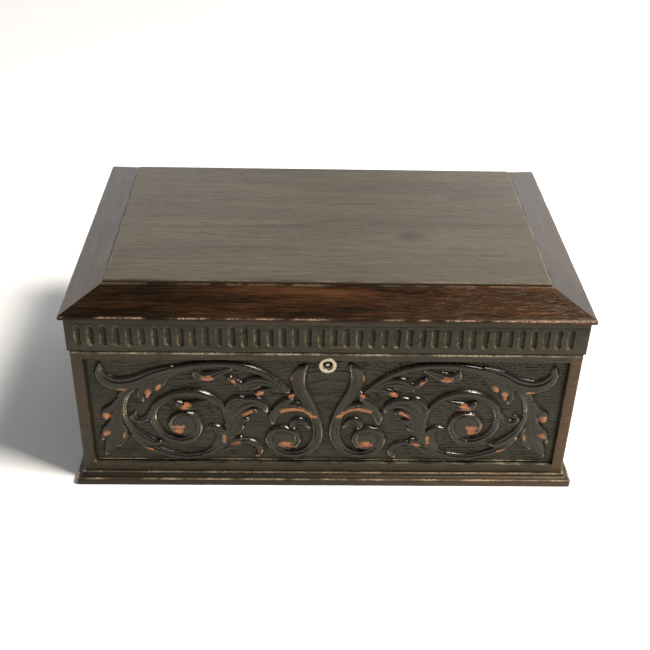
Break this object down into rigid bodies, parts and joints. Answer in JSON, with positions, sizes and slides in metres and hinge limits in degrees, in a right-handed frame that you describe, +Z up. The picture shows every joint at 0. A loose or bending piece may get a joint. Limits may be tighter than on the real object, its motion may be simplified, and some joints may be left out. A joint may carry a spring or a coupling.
{
  "type": "wooden money box",
  "caption": "Rectangular wooden money box with a scroll-carved front, fluted hinged lid with bevelled border, moulded base and box lock.",
  "frame": {"origin": "on the ground under the middle of the base board", "axes": "+X along the length to the right seen from the front, +Z up, the front faces -Y"},
  "size_m": [0.3108, 0.2068, 0.1344],
  "materials": {
    "carved_wood": "near-black stained carving with worn orange and cream high spots, satin polish",
    "case_wood": "dark stained boards, satin polish, worn reddish corners",
    "plinth_wood": "dark stained moulded edge with worn light arris",
    "frieze_wood": "dark stained fluted frieze",
    "bevel_wood": "polished dark red-brown mouldings",
    "panel_wood": "satin brown figured board",
    "brass": "aged brass",
    "ring_brass": "pale worn brass",
    "steel": "dulled steel"
  },
  "bodies": {
    "case": {"front_board": "carved_wood", "back_board": "case_wood", "left_side": "case_wood", "right_side": "case_wood", "base_board": "plinth_wood", "base_screws": "steel", "case_pins": "steel", "left_hinge_case_leaf": "brass", "right_hinge_case_leaf": "brass", "left_hinge_pin": "steel", "right_hinge_pin": "steel", "hinge_case_screws": "steel", "lock_plate": "brass", "lock_cap": "brass", "drill_pin": "steel", "lock_screws": "steel", "escutcheon_ring": "ring_brass"},
    "lid": {"lid_rail_front": "frieze_wood", "lid_rail_back": "frieze_wood", "lid_rail_left": "frieze_wood", "lid_rail_right": "frieze_wood", "lid_bevel_front": "bevel_wood", "lid_bevel_back": "bevel_wood", "lid_bevel_left": "bevel_wood", "lid_bevel_right": "bevel_wood", "top_panel": "panel_wood", "lid_pins": "steel", "panel_pins": "steel", "left_hinge_lid_leaf": "brass", "right_hinge_lid_leaf": "brass", "hinge_lid_screws": "steel", "link_plate": "brass", "link_screws": "steel"},
    "bolt": {"lock_bolt": "brass", "bolt_spring": "steel"}
  },
  "joints": [
    {"name": "lid_hinge", "type": "hinge", "parent": "case", "child": "lid", "pos_m": [0, 0.096, 0.09835], "axis": [-1, 0, 0], "range_deg": [0, 94]},
    {"name": "bolt_slide", "type": "slide", "parent": "case", "child": "bolt", "axis": [1, 0, 0], "range_m": [0, 0.0036]}
  ]
}
